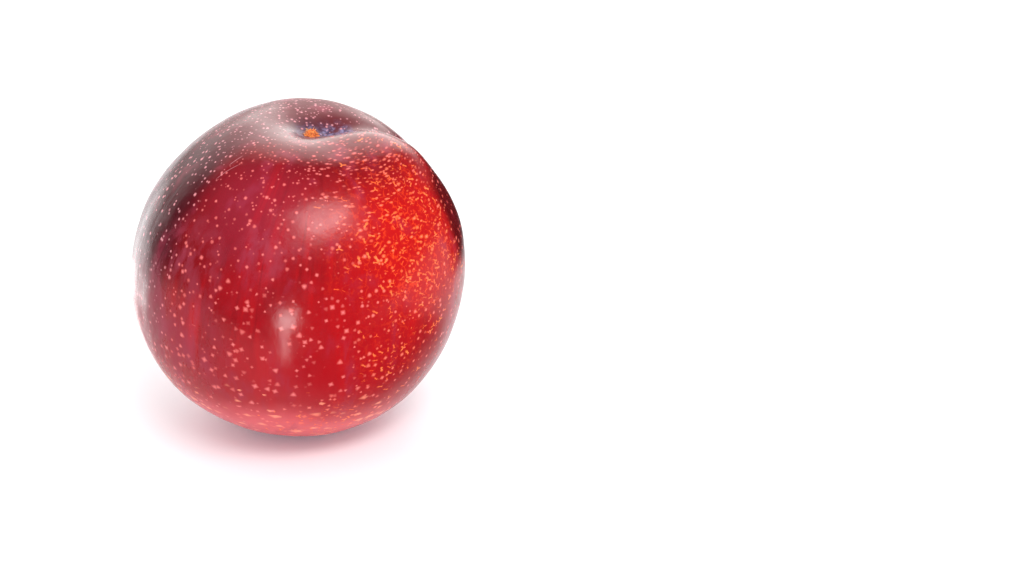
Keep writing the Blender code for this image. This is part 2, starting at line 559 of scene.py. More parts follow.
def skin_net():
    """Points of the whole skin: the stem end, the rings, then the blossom end."""
    polar, azimuth = np.meshgrid(
        packed_polar(np.arange(1, ROWS)), packed_azimuth(np.arange(COLUMNS)), indexing="ij"
    )
    rings = skin_points(polar, azimuth).reshape(-1, 3)
    ends = skin_points(np.array([0.0, math.pi]), np.zeros(2))
    return np.vstack((ends[:1], rings, ends[1:]))


class Tree:
    """Places nodes in one node tree. A number, a colour or a socket feeds any input."""

    def __init__(self, tree):
        self.tree = tree

    def node(self, kind, *values, **settings):
        """A node with these settings, and its first inputs fed with the values."""
        made = self.tree.nodes.new(kind)
        for name, value in settings.items():
            setattr(made, name, value)
        for socket, value in zip(made.inputs, values):
            self.feed(socket, value)
        return made

    def feed(self, socket, value):
        if isinstance(value, bpy.types.NodeSocket):
            self.tree.links.new(value, socket)
        else:
            socket.default_value = value

    def maths(self, operation, *values):
        return self.node("ShaderNodeMath", *values, operation=operation).outputs[0]

    def vector(self, operation, *values):
        made = self.node("ShaderNodeVectorMath", *values, operation=operation)
        return made.outputs["Value" if operation in ("DOT_PRODUCT", "LENGTH") else "Vector"]

    def scaled(self, vector, factor):
        made = self.node("ShaderNodeVectorMath", vector, operation="SCALE")
        self.feed(made.inputs["Scale"], factor)
        return made.outputs["Vector"]

    def joined(self, *parts):
        return self.node("ShaderNodeCombineXYZ", *parts).outputs[0]

    def parts(self, vector):
        return tuple(self.node("ShaderNodeSeparateXYZ", vector).outputs)

    def smooth(self, value, low, high, out_low=0.0, out_high=1.0):
        """out_low at low, out_high at high, and an even S between them."""
        span = (value, low, high, out_low, out_high)
        made = self.node("ShaderNodeMapRange", *span, interpolation_type="SMOOTHSTEP")
        return made.outputs["Result"]

    def mix(self, amount, first, second):
        made = self.node("ShaderNodeMix", data_type="RGBA")
        self.feed(made.inputs["Factor"], amount)
        self.feed(made.inputs[6], first)
        self.feed(made.inputs[7], second)
        return made.outputs[2]

    def times(self, first, second):
        return self.maths("MULTIPLY", first, second)

    def plus(self, mask, factor, start):
        """The start value, with factor times the mask added."""
        return self.maths("MULTIPLY_ADD", mask, factor, start)

    def most(self, first, *others):
        for other in others:
            first = self.maths("MAXIMUM", first, other)
        return first

    def coats(self, colour, *coats):
        """Lays coats over a colour in turn, each given as (mask, strength, tint)."""
        for mask, strength, tint in coats:
            colour = self.mix(self.times(mask, strength), colour, tint)
        return colour

    def noise(self, place, scale, **settings):
        """Clouds: a value under Fac, and three of them under Color."""
        made = self.node("ShaderNodeTexNoise")
        self.feed(made.inputs["Vector"], place)
        self.feed(made.inputs["Scale"], scale)
        for name, value in settings.items():
            self.feed(made.inputs[name.capitalize()], value)
        return made.outputs

    def cells(self, feature, place, size):
        """Cells about as wide as size: what they put out, and the place measured in cells."""
        shrunk = self.scaled(place, self.maths("DIVIDE", 1.0, size))
        made = self.node("ShaderNodeTexVoronoi", shrunk, feature=feature)
        made.inputs["Scale"].default_value = 1.0
        return made.outputs, shrunk

    def use(self, group, **inputs):
        made = self.node("ShaderNodeGroup", node_tree=group)
        for name, value in inputs.items():
            self.feed(made.inputs[name.replace("_", " ")], value)
        return made.outputs


def new_group(name, vectors, numbers, results):
    """A node group that takes vectors and numbers and gives numbers: its tree, inputs, outputs."""
    group = bpy.data.node_groups.new(name, "ShaderNodeTree")
    for names, way, kind in (
        (vectors, "INPUT", "NodeSocketVector"),
        (numbers, "INPUT", "NodeSocketFloat"),
        (results, "OUTPUT", "NodeSocketFloat"),
    ):
        for socket in names:
            group.interface.new_socket(name=socket, in_out=way, socket_type=kind)
    tree = Tree(group)
    return tree, tree.node("NodeGroupInput").outputs, tree.node("NodeGroupOutput").inputs


def srgb(red, green, blue):
    """A colour given as 0 to 255 on a screen, as the shader's own linear values."""
    values = (channel / 255.0 for channel in (red, green, blue))
    linear = (
        value / 12.92 if value <= 0.04045 else ((value + 0.055) / 1.055) ** 2.4
        for value in values
    )
    return (*linear, 1.0)


def patch_group():
    """A soft-edged patch of the skin round one direction, its edge broken up by noise."""
    tree, given, out = new_group(
        "skin patch",
        ("Place", "Direction"),
        ("Inner", "Outer", "Raggedness", "Grain"),
        ("Mask",),
    )
    heading = tree.vector("NORMALIZE", given["Place"])
    away = tree.maths("ARCCOSINE", tree.vector("DOT_PRODUCT", heading, given["Direction"]))
    away = tree.maths("DEGREES", away)
    cloud = tree.noise(given["Place"], given["Grain"], detail=3.0)["Fac"]
    shift = tree.times(tree.maths("SUBTRACT", cloud, 0.5), given["Raggedness"])
    edge = tree.maths("ADD", away, shift)
    tree.feed(out["Mask"], tree.smooth(edge, given["Outer"], given["Inner"]))
    return tree.tree


# A pore's arms: how much their number varies, then their sharpness, reach and waist
ARM_VARIETY = 1.4
ARM_SHARPNESS = 2.2
ARM_REACH = 1.25
ARM_WAIST = -0.42
# Shares of a pore's radius: the smallest and how much more, and where its spot and heart fade
PORE_SMALLEST = 0.6
PORE_VARIETY = 0.8
SPOT_EDGE = (1.40, 0.4)
HEART_EDGE = (0.65, 0.15)


def lenticel_group():
    """Breathing pores: round, starred or drawn out east to west, one to a cell at most."""
    tree, given, out = new_group(
        "lenticels",
        ("Place",),
        ("Cell", "Radius", "Reach", "Arms", "Star", "Stretch", "Share"),
        ("Spot", "Heart", "Chance"),
    )
    cells, shrunk = tree.cells("F1", given["Place"], given["Cell"])
    seed = tree.node("ShaderNodeTexWhiteNoise", cells["Position"])
    turn, arms, size = tree.parts(seed.outputs["Color"])
    offset = tree.vector("SUBTRACT", shrunk, cells["Position"])
    offset = tree.scaled(offset, given["Cell"])
    outward = tree.vector("NORMALIZE", given["Place"])
    east = tree.vector("NORMALIZE", tree.vector("CROSS_PRODUCT", tuple(UP), outward))
    north = tree.vector("CROSS_PRODUCT", outward, east)
    aside = tree.maths("DIVIDE", tree.vector("DOT_PRODUCT", offset, east), given["Stretch"])
    along = tree.vector("DOT_PRODUCT", offset, north)
    depth = tree.maths("DIVIDE", tree.vector("DOT_PRODUCT", offset, outward), given["Reach"])
    flat = tree.vector("LENGTH", tree.joined(aside, along, 0.0))
    bearing = tree.plus(turn, 2.0 * math.pi, tree.maths("ARCTAN2", along, aside))
    points = tree.maths("ROUND", tree.plus(arms, ARM_VARIETY, given["Arms"]))
    wave = tree.maths("COSINE", tree.times(bearing, points))
    arm = tree.maths("POWER", tree.plus(wave, 0.5, 0.5), ARM_SHARPNESS)
    outline = tree.plus(tree.plus(arm, ARM_REACH, ARM_WAIST), given["Star"], 1.0)
    grown = tree.plus(size, PORE_VARIETY, PORE_SMALLEST)
    reach = tree.times(tree.times(given["Radius"], outline), grown)
    share = tree.joined(tree.maths("DIVIDE", flat, reach), depth, 0.0)
    nearness = tree.vector("LENGTH", share)
    present = tree.maths("LESS_THAN", seed.outputs["Value"], given["Share"])
    spot = tree.times(tree.smooth(nearness, *SPOT_EDGE), present)
    heart = tree.times(tree.smooth(nearness, *HEART_EDGE), present)
    tree.feed(out["Spot"], spot)
    tree.feed(out["Heart"], heart)
    tree.feed(out["Chance"], size)
    return tree.tree


# The net's lines wander by so many millimetres, in clouds of so fine a grain, as do its gaps
NET_WANDER = 1.3
NET_WANDER_GRAIN = 0.9
NET_GAP_GRAIN = 0.8
NET_GAP_EDGE = 0.12


def net_group():
    """Fine broken lines that join up round small fields, like cracks in a glaze."""
    tree, given, out = new_group(
        "russet net",
        ("Place",),
        ("Cell", "Width", "Breaks"),
        ("Line",),
    )
    wander = tree.noise(given["Place"], NET_WANDER_GRAIN)["Color"]
    wander = tree.scaled(tree.vector("SUBTRACT", wander, (0.5, 0.5, 0.5)), NET_WANDER)
    bent = tree.vector("ADD", given["Place"], wander)
    cells, _ = tree.cells("DISTANCE_TO_EDGE", bent, given["Cell"])
    line = tree.smooth(cells["Distance"], given["Width"], 0.0)
    gaps = tree.noise(given["Place"], NET_GAP_GRAIN, detail=3.0, roughness=0.6)["Fac"]
    gap_edge = tree.maths("ADD", given["Breaks"], NET_GAP_EDGE)
    kept = tree.smooth(gaps, given["Breaks"], gap_edge)
    tree.feed(out["Line"], tree.times(line, kept))
    return tree.tree


def streak_group():
    """Streaks that run from the stem end to the blossom end, wavering a little."""
    tree, given, out = new_group(
        "meridian streaks",
        ("Place",),
        ("Count", "Length", "Detail"),
        ("Streak",),
    )
    east, north, height = tree.parts(given["Place"])
    round_way = tree.vector("NORMALIZE", tree.joined(east, north, 0.0))
    down = tree.joined(0.0, 0.0, tree.maths("DIVIDE", height, given["Length"]))
    place = tree.vector("ADD", tree.scaled(round_way, given["Count"]), down)
    streak = tree.noise(place, 1.0, detail=given["Detail"], roughness=0.55, distortion=0.3)
    tree.feed(out["Streak"], streak["Fac"])
    return tree.tree


# How much a rub mark bows, and the share of its half length where it starts to fade
RUB_BOW = 0.02
RUB_FADE = 0.6


def rub_group():
    """A thin rub mark: a short arc of a circle round the fruit, fading at both ends."""
    tree, given, out = new_group(
        "rub mark",
        ("Place", "Middle", "Across"),
        ("Half Length", "Width"),
        ("Mark",),
    )
    offset = tree.vector("SUBTRACT", given["Place"], given["Middle"])
    side = tree.vector("DOT_PRODUCT", offset, given["Across"])
    bow = tree.times(tree.vector("DOT_PRODUCT", offset, offset), RUB_BOW)
    side = tree.maths("ABSOLUTE", tree.maths("SUBTRACT", side, bow))
    line = tree.smooth(side, given["Width"], 0.0)
    solid = tree.times(given["Half Length"], RUB_FADE)
    ends = tree.smooth(tree.vector("LENGTH", offset), given["Half Length"], solid)
    tree.feed(out["Mark"], tree.times(line, ends))
    return tree.tree


# Colours as they look on a screen
CRIMSON = srgb(154, 12, 24)
DEEP_CRIMSON = srgb(120, 8, 18)
PURE_RED = srgb(182, 8, 14)
CHEEK_RED = srgb(182, 12, 14)
# The upper back and left shoulder: partly the skin's own dark purple, partly painted shade and
# painted dark reflection
SHOULDER_PURPLE_AND_SHADE = srgb(54, 8, 20)
BACK_PURPLE_AND_SHADE = srgb(92, 12, 26)
ROSE = srgb(168, 14, 28)
FLANK_RED = srgb(176, 8, 16)
# Partly the skin's own pink, partly painted light bounced up from the white table onto the underside
FOOT_PINK_AND_BOUNCE = srgb(228, 96, 104)
FOOT_BLOTCH = srgb(255, 152, 122)
CROWN_CRIMSON = srgb(96, 8, 18)
# Partly the skin's own maroon, partly painted shade and painted dark reflection along the suture's
# limb
LIMB_MAROON_AND_SHADE = srgb(88, 3, 8)
# Wax bloom; in the haze patches it also stands in for painted reflection
PLUM_HAZE = srgb(152, 48, 72)
# Painted shade in the stem cavity
CAVITY_PAINTED_SHADE = srgb(64, 16, 40)
BLOOM_DARK = srgb(60, 50, 86)
BLOOM_LIGHT = srgb(138, 134, 174)
PORE_PINK = srgb(224, 102, 100)
PORE_PALE = srgb(224, 148, 158)
PORE_ORANGE = srgb(255, 110, 56)
NET_ORANGE = srgb(240, 70, 26)
NET_YELLOW = srgb(255, 134, 74)
CORK_BROWN = srgb(128, 66, 40)
SCAR_ORANGE = srgb(255, 150, 66)
# Painted shade in the scar's pits
SCAR_TAN = srgb(206, 100, 44)
SCAR_PIT_SHADE = srgb(92, 40, 22)
FIBRE_PALE = srgb(250, 176, 112)
NIB_BROWN = srgb(66, 38, 26)
NIB_TAN = srgb(128, 86, 56)
# Colours of the stage, as the shader's own linear values
TABLE_SHADE = (0.82, 0.82, 0.84, 1.0)
TABLE_WHITE = (0.85, 0.85, 0.87, 1.0)
# Tint of the table's painted glow
TABLE_LIGHT = (0.78, 0.80, 1.0, 1.0)
FLAG_BLACK = (0.01, 0.01, 0.012, 1.0)
ROOM_WHITE = (1.0, 0.985, 0.955, 1.0)


class Zone(NamedTuple):
    """A patch of the skin: full up to inner, gone past outer, its edge ragged, all in degrees."""

    middle: tuple
    inner: float
    outer: float
    raggedness: float = 14.0
    # How fine the raggedness is, in waves to a millimetre
    grain: float = 0.12


# Zones of the skin, their middles as polar and azimuth in degrees
STEM_END = (0.0, 0.0)
BLOSSOM_END = (180.0, 0.0)
CROWN = Zone(STEM_END, 18.0, 48.0, 12.0)
STEM_SIDE = Zone(STEM_END, 26.0, 56.0, 10.0)
HOLLOW = Zone(STEM_END, 5.0, 13.0, 6.0, 0.3)
CAVITY_FLOOR = Zone(STEM_END, 2.0, 8.0, 8.0, 0.6)
CORKY_RIM = Zone(STEM_END, 2.4, 4.2, 2.4, 1.6)
CAVITY_BACK = Zone((15.0, 67.0), 8.0, 20.0)
SUTURE_MOUTH = Zone((9.0, 350.0), 4.0, 10.0, 8.0, 0.5)
SUTURE_LIMB = Zone((62.0, 347.0), 18.0, 26.0, 8.0, 0.15)
SUTURE_SIDE = Zone((82.0, 354.0), 12.0, 40.0, 24.0, 0.08)
RED_CHEEK = Zone((56.0, 298.0), 8.0, 42.0, 20.0)
WARM_CHEEK = Zone((56.0, 298.0), 6.0, 38.0, 18.0)
CHEEK_DASHES = Zone((36.0, 302.0), 12.0, 34.0, 10.0)
RED_FLANK = Zone((84.0, 272.0), 10.0, 36.0)
FLANK_FLECKS = Zone((90.0, 288.0), 6.0, 30.0)
LEFT_CHEEK = Zone((57.0, 203.0), 10.0, 33.0)
LEFT_SHOULDER = Zone((58.0, 177.0), 14.0, 40.0, 12.0)
BRUSHED_SIDE = Zone((84.0, 190.0), 20.0, 55.0)
DARK_BACK = Zone((97.0, 97.0), 95.0, 107.0, 10.0)
LOWER_HALF = Zone(BLOSSOM_END, 62.0, 98.0, 26.0, 0.06)
UNDERSIDE = Zone(BLOSSOM_END, 14.0, 38.0)
LOW_FRONT = Zone((108.0, 240.0), 20.0, 56.0, 10.0)
ROSY_FOOT = Zone((128.0, 250.0), 18.0, 62.0)
PALE_FOOT = Zone((160.0, 252.0), 32.0, 50.0)
FOOT_BLOTCHES = Zone((160.0, 252.0), 36.0, 58.0)
FOOT_FLECKS = Zone((130.0, 270.0), 6.0, 28.0)
UPPER_HAZE = Zone((46.0, 226.0), 4.0, 26.0)
# Patches of wax bloom that also carry painted reflection
HAZE_AND_REFLECTION_PATCHES = (
    Zone((72.0, 210.0), 4.0, 22.0, 26.0, 0.2),
    Zone((62.0, 238.0), 2.0, 16.0, 26.0, 0.2),
    Zone((100.0, 200.0), 8.0, 34.0, 26.0, 0.2),
)

# Rub marks on the left shoulder: (one end, other end, width in mm)
RUB_MARKS = (
    ((29.8, 199.9), (36.1, 197.5), 0.13),
    ((32.6, 203.8), (42.7, 197.0), 0.11),
)


def fruit_place(tree):
    """Millimetres in the fruit's own frame, from its middle: stem end +Z, suture +X."""
    middle = (Vector(cad_low) + Vector(cad_high)) / 2.0
    coordinates = tree.node("ShaderNodeTexCoord").outputs["Object"]
    turn = tree.node("ShaderNodeMapping", vector_type="POINT")
    tree.feed(turn.inputs["Vector"], tree.vector("SUBTRACT", coordinates, tuple(middle)))
    turn.inputs["Rotation"].default_value = (-LEAN_FRONT, -LEAN_RIGHT, -SUTURE_HEADING)
    turn.inputs["Scale"].default_value = (1.0 / MM, 1.0 / MM, 1.0 / MM)
    return turn.outputs["Vector"]


def new_material(name):
    """A material with its Principled shader: the tree, the shader's inputs."""
    material = bpy.data.materials.new(name)
    material.use_nodes = True
    tree = Tree(material.node_tree)
    return material, tree, material.node_tree.nodes["Principled BSDF"].inputs


def add_bump(tree, shader, height):
    """Relief of the shading, its height in millimetres."""
    bump = tree.node("ShaderNodeBump")
    bump.inputs["Distance"].default_value = MM
    tree.feed(bump.inputs["Height"], height)
    tree.feed(shader["Normal"], bump.outputs["Normal"])


class SkinPaint:
    """Paints the skin, one layer after another, in the node tree of its material."""

    def __init__(self, tree, groups):
        self.tree = tree
        self.groups = groups
        self.place = fruit_place(tree)
        self.cheek = self.zone(RED_CHEEK)
        self.under = self.zone(UNDERSIDE)
        self.rim = self.zone(CORKY_RIM)
        self.foot_flecks = self.zone(FOOT_FLECKS)
        self.flank_flecks = self.zone(FLANK_FLECKS)
        upper = tree.plus(self.zone(LOWER_HALF), -1.0, 1.0)
        self.back = tree.times(self.zone(DARK_BACK), upper)
        self.limb = tree.most(self.zone(SUTURE_LIMB), tree.times(self.zone(SUTURE_SIDE), 0.8))
        self.fine_streaks = self.streaks(Count=19.0, Length=18.0, Detail=4.0)

    def zone(self, zone):
        return self.tree.use(
            self.groups["patch"],
            Place=self.place,
            Direction=tuple(towards(*zone.middle)),
            Inner=zone.inner,
            Outer=zone.outer,
            Raggedness=zone.raggedness,
            Grain=zone.grain,
        )["Mask"]

    def noise(self, scale, **settings):
        return self.tree.noise(self.place, scale, **settings)["Fac"]

    def streaks(self, **settings):
        return self.tree.use(self.groups["streaks"], Place=self.place, **settings)["Streak"]

    def pores(self, **settings):
        return self.tree.use(self.groups["lenticels"], Place=self.place, **settings)

    def ground(self):
        """Crimson, faintly clouded, and streaked from the stem end to the blossom end."""
        tree = self.tree
        cloud = self.noise(0.07, detail=4.0, roughness=0.6)
        colour = tree.mix(tree.smooth(cloud, 0.40, 0.64, 0.45, 1.0), DEEP_CRIMSON, CRIMSON)
        broad_streaks = self.streaks(Count=6.0, Length=26.0, Detail=3.0)
        return tree.coats(
            colour,
            (tree.smooth(broad_streaks, 0.50, 0.68), 0.75, PURE_RED),
            (tree.smooth(self.fine_streaks, 0.48, 0.30), 0.65, DEEP_CRIMSON),
        )

    def zones(self, colour):
        """The rosy foot, its pale underside partly painted light from the table, and the red cheek;
        then the dark stem side, and the back and suture limb, dark partly from painted shade.
        """
        tree = self.tree
        # The pale underside: pink skin with painted light bounced up from the table
        pale_foot_and_bounce = tree.times(self.zone(PALE_FOOT), tree.plus(self.under, -0.8, 1.0))
        return tree.coats(
            colour,
            (self.zone(ROSY_FOOT), 0.7, ROSE),
            (pale_foot_and_bounce, 0.7, FOOT_PINK_AND_BOUNCE),
            (self.zone(RED_FLANK), 0.6, FLANK_RED),
            (self.cheek, 0.9, CHEEK_RED),
            (self.zone(LEFT_CHEEK), 0.7, DEEP_CRIMSON),
            (self.zone(CROWN), 0.9, CROWN_CRIMSON),
            # The back and left shoulder: dark purple skin with painted shade and painted dark
            # reflection
            (self.back, 0.85, BACK_PURPLE_AND_SHADE),
            (tree.times(self.zone(LEFT_SHOULDER), self.back), 0.7, SHOULDER_PURPLE_AND_SHADE),
            # The suture's limb: maroon skin with painted shade and painted dark reflection
            (self.limb, 0.95, LIMB_MAROON_AND_SHADE),
        )

    def wax(self, colour):
        """Bloom: thick in the cavity and the suture, wiped to thin patches elsewhere; the patches
        also carry painted reflection, and the cavity's hollow gets painted shade.
        """
        tree = self.tree
        drawn = tree.vector("MULTIPLY", self.place, (1.0, 1.0, 0.35))
        wipes = tree.noise(drawn, 0.30, detail=4.0, roughness=0.6, distortion=0.2)["Fac"]
        mottle = tree.noise(drawn, 0.16, detail=3.0)["Fac"]
        # Bloom patches that also carry painted reflection
        haze_and_reflection = tree.most(*[self.zone(zone) for zone in HAZE_AND_REFLECTION_PATCHES])
        haze_and_reflection = tree.times(haze_and_reflection, tree.smooth(wipes, 0.36, 0.62))
        veil = tree.times(tree.smooth(mottle, 0.50, 0.66), tree.smooth(wipes, 0.40, 0.60))
        bloom = tree.most(self.zone(SUTURE_MOUTH), tree.times(self.zone(CAVITY_FLOOR), 0.6))
        bloom = tree.times(bloom, tree.smooth(wipes, 0.34, 0.52))
        flecks = tree.smooth(self.noise(1.3, detail=4.0, roughness=0.6), 0.42, 0.62)
        colour = tree.coats(
            colour,
            (self.zone(UPPER_HAZE), 0.30, PLUM_HAZE),
            (haze_and_reflection, 0.44, PLUM_HAZE),
            (veil, 0.42, PLUM_HAZE),
            # Painted shade in the cavity's hollow
            (self.zone(HOLLOW), 0.7, CAVITY_PAINTED_SHADE),
            (bloom, 0.75, tree.mix(flecks, BLOOM_DARK, BLOOM_LIGHT)),
        )
        return colour, tree.most(haze_and_reflection, bloom)

    def flecks(self, colour):
        """Blotches on the foot, then a broken net and short strokes, mostly on the cheek."""
        tree = self.tree
        blotches = self.pores(
            Cell=2.7,
            Radius=0.55,
            Reach=0.8,
            Arms=2.6,
            Star=0.22,
            Stretch=1.7,
            Share=tree.times(self.zone(FOOT_BLOTCHES), tree.plus(self.under, -0.7, 0.8)),
        )
        low_flecks = tree.most(tree.times(self.foot_flecks, 0.6), tree.times(self.flank_flecks, 0.45))
        flecked = tree.times(tree.most(self.cheek, low_flecks), tree.plus(self.limb, -1.0, 1.0))
        net = tree.use(self.groups["net"], Place=self.place, Cell=1.5, Width=0.12, Breaks=0.45)
        clumps = tree.smooth(self.noise(0.28), 0.36, 0.60, 0.35, 1.0)
        strokes = self.pores(
            Cell=1.2,
            Radius=0.235,
            Reach=0.42,
            Arms=1.6,
            Star=1.6,
            Stretch=1.4,
            Share=tree.times(flecked, clumps),
        )
        return tree.coats(
            colour,
            (blotches["Spot"], 0.8, FOOT_BLOTCH),
            (tree.times(net["Line"], flecked), 0.5, NET_ORANGE),
            (strokes["Spot"], 0.85, tree.mix(strokes["Chance"], NET_ORANGE, NET_YELLOW)),
        )

    def lenticels(self, colour):
        """Pores: fine and thick round the stem, drawn out on the cheek, starred in front."""
        tree = self.tree
        stem_side = self.zone(STEM_SIDE)
        dashes = self.zone(CHEEK_DASHES)
        low_front = self.zone(LOW_FRONT)
        radius = tree.plus(stem_side, -0.08, 0.30)
        radius = tree.plus(low_front, 0.11, radius)
        pores = self.pores(
            Cell=1.5,
            Radius=tree.plus(dashes, -0.05, radius),
            Reach=0.42,
            Arms=2.8,
            Star=tree.plus(low_front, 0.20, 0.08),
            Stretch=tree.plus(dashes, 1.2, 1.0),
            Share=tree.plus(low_front, -0.25, 0.9),
        )
        crowd = tree.times(stem_side, tree.plus(self.back, -0.15, 0.9))
        fine_pores = self.pores(
            Cell=1.0,
            Radius=0.20,
            Reach=0.28,
            Arms=2.8,
            Star=0.08,
            Stretch=tree.plus(dashes, 1.5, 1.0),
            Share=tree.most(crowd, tree.times(self.cheek, 0.3)),
        )
        low_warmth = tree.most(tree.times(self.foot_flecks, 0.7), tree.times(self.flank_flecks, 0.5))
        warm = tree.most(self.zone(WARM_CHEEK), low_warmth)
        tint = tree.mix(warm, tree.mix(self.back, PORE_PINK, PORE_PALE), PORE_ORANGE)
        spots = tree.most(pores["Spot"], tree.times(fine_pores["Spot"], 0.85))
        hearts = tree.most(pores["Heart"], fine_pores["Heart"])
        return tree.coats(colour, (spots, 0.85, tint), (hearts, 0.35, PORE_PALE)), spots

    def marks(self, colour):
        """Rub marks on the left shoulder, and the corky rim round the stem scar."""
        for first, last, width in RUB_MARKS:
            ends = np.array((towards(*first), towards(*last)))
            across = np.cross(*ends)
            mark = self.tree.use(
                self.groups["rub"],
                Place=self.place,
                Middle=tuple(ends.mean(axis=0) * MEAN_RADIUS),
                Across=tuple(across / np.linalg.norm(across)),
                Half_Length=np.linalg.norm(ends[1] - ends[0]) * MEAN_RADIUS / 2.0,
                Width=width,
            )["Mark"]
            colour = self.tree.coats(colour, (mark, 0.5, PORE_PALE))
        return self.tree.coats(colour, (self.rim, 0.4, CORK_BROWN))

    def roughness(self, waxy):
        """Glossy; duller where wax lies, behind the cavity and on the corky rim."""
        tree = self.tree
        sheen = self.noise(0.5, detail=4.0, roughness=0.6)
        dull = tree.smooth(sheen, 0.3, 0.7, 0.19, 0.25)
        for mask, more in ((waxy, 0.22), (self.zone(CAVITY_BACK), 0.30), (self.rim, 0.35)):
            dull = tree.plus(mask, more, dull)
        return dull

    def relief(self, spots):
        """Heights in millimetres: grain, pebbling, a brushed left side and proud pores."""
        tree = self.tree
        height = tree.times(self.noise(2.6, detail=3.0, roughness=0.6), 0.010)
        brushed = tree.times(self.fine_streaks, self.zone(BRUSHED_SIDE))
        for mask, more in ((self.noise(0.8), 0.032), (brushed, 0.045), (spots, 0.012)):
            height = tree.plus(mask, more, height)
        return height


def skin_material(groups):
    material, tree, shader = new_material("waxy plum skin")
    paint = SkinPaint(tree, groups)
    colour, waxy = paint.wax(paint.zones(paint.ground()))
    colour, spots = paint.lenticels(paint.flecks(colour))
    tree.feed(shader["Base Color"], paint.marks(colour))
    tree.feed(shader["Roughness"], paint.roughness(waxy))
    shader["Specular IOR Level"].default_value = 0.20
    add_bump(tree, shader, paint.relief(spots))
    return material


def scar_material():
    """Torn, dried flesh: orange and tan, with painted shade in the pith and between the crumbs, where
    its bump is low.
    """
    material, tree, shader = new_material("torn stalk scar")
    place = fruit_place(tree)
    crumbs = tree.noise(place, 2.4, detail=4.0, roughness=0.65)["Fac"]
    pits = tree.noise(place, 4.5, detail=3.0, roughness=0.6)["Fac"]
    colour = tree.mix(tree.smooth(crumbs, 0.44, 0.60), SCAR_TAN, SCAR_ORANGE)
    # Painted shade in the pits of the bump
    colour = tree.coats(colour, (tree.smooth(pits, 0.40, 0.28), 0.8, SCAR_PIT_SHADE))
    tree.feed(shader["Base Color"], colour)
    tree.feed(shader["Roughness"], tree.smooth(crumbs, 0.3, 0.7, 0.9, 0.7))
    add_bump(tree, shader, tree.times(pits, 0.12))
    return material


def fibre_material():
    """Pale torn fibres, darker here and there."""
    material, tree, shader = new_material("torn fibres")
    tone = tree.noise(fruit_place(tree), 2.0)["Fac"]
    tree.feed(shader["Base Color"], tree.mix(tree.smooth(tone, 0.38, 0.6), SCAR_TAN, FIBRE_PALE))
    shader["Roughness"].default_value = 0.75
    return material


def nib_material():
    """Dry brown remains of the flower."""
    material, tree, shader = new_material("dried flower point")
    tone = tree.noise(fruit_place(tree), 3.0, detail=4.0, roughness=0.6)["Fac"]
    tree.feed(shader["Base Color"], tree.mix(tree.smooth(tone, 0.4, 0.65), NIB_BROWN, NIB_TAN))
    tree.feed(shader["Roughness"], tree.smooth(tone, 0.3, 0.7, 0.9, 0.7))
    add_bump(tree, shader, tree.times(tone, 0.1))
    return material


def table_material():
    """Matte white, with a faint painted glow that lifts its shadows and tints them faintly blue."""
    material, tree, shader = new_material("white table top")
    place = tree.node("ShaderNodeTexCoord").outputs["Object"]
    tone = tree.noise(place, 9.0, detail=3.0)["Fac"]
    tree.feed(shader["Base Color"], tree.mix(tone, TABLE_SHADE, TABLE_WHITE))
    shader["Roughness"].default_value = 0.55
    shader["Specular IOR Level"].default_value = 0.3
    # Painted light: the table glows faintly, lifting and tinting its shadows
    shader["Emission Color"].default_value = TABLE_LIGHT
    shader["Emission Strength"].default_value = TABLE_PAINTED_GLOW
    return material


def make_table():
    """A white sheet; it ends on the left where its reflection ends on the fruit."""
    left, right, front, far = TABLE_EDGES
    corners = np.array([(left, front, 0), (right, front, 0), (right, far, 0), (left, far, 0)])
    table = mesh_object("table_top", corners, [(0, 1, 2, 3)])
    table.data.materials.append(table_material())


def flag_material(name, size, fade):
    """Black, and clear towards the card's edges."""
    material, tree, shader = new_material(name)
    east, north, _ = tree.parts(tree.node("ShaderNodeTexCoord").outputs["Object"])
    solid = [
        tree.smooth(tree.maths("ABSOLUTE", place), reach / 2.0, reach / 2.0 - fade)
        for place, reach in ((east, size[0]), (north, size[1]))
    ]
    shader["Base Color"].default_value = FLAG_BLACK
    shader["Roughness"].default_value = 0.9
    tree.feed(shader["Alpha"], tree.times(*solid))
    return material


def make_flags():
    """Black cards that only reflections see, for the dark shapes on the glossy skin."""
    for name, place, turn, size, fade in FLAGS:
        wide, deep = size[0] / 2.0, size[1] / 2.0
        corners = np.array([(-wide, -deep, 0), (wide, -deep, 0), (wide, deep, 0), (-wide, deep, 0)])
        flag = mesh_object(name, corners, [(0, 1, 2, 3)])
        flag.location = place
        flag.rotation_euler = [math.radians(angle) for angle in turn]
        flag.data.materials.append(flag_material(name, size, fade))
        flag.visible_camera = False
        flag.visible_diffuse = False
        flag.visible_shadow = False


def look_at(thing, place, aim):
    thing.location = place
    thing.rotation_euler = (Vector(aim) - Vector(place)).to_track_quat("-Z", "Y").to_euler()


def area_light(name, place, aim, size, radiance):
    """A softbox whose face has the given radiance, unseen by the camera."""
    light = bpy.data.lights.new(name, "AREA")
    light.shape = "RECTANGLE"
    light.size, light.size_y = size
    light.energy = radiance * math.pi * size[0] * size[1]
    lamp = bpy.data.objects.new(name, light)
    bpy.context.scene.collection.objects.link(lamp)
    look_at(lamp, place, aim)
    lamp.visible_camera = False
    return lamp


def make_light():
    middle = Vector(cad_low).lerp(Vector(cad_high), 0.5)
    key = middle + Vector(KEY_HEADING).normalized() * KEY_DISTANCE
    area_light("key softbox", key, middle, KEY_SIZE, KEY_RADIANCE)
    for name, place, aim, size, radiance in CARDS:
        card = area_light(name, place, aim, size, radiance)
        card.visible_diffuse = False


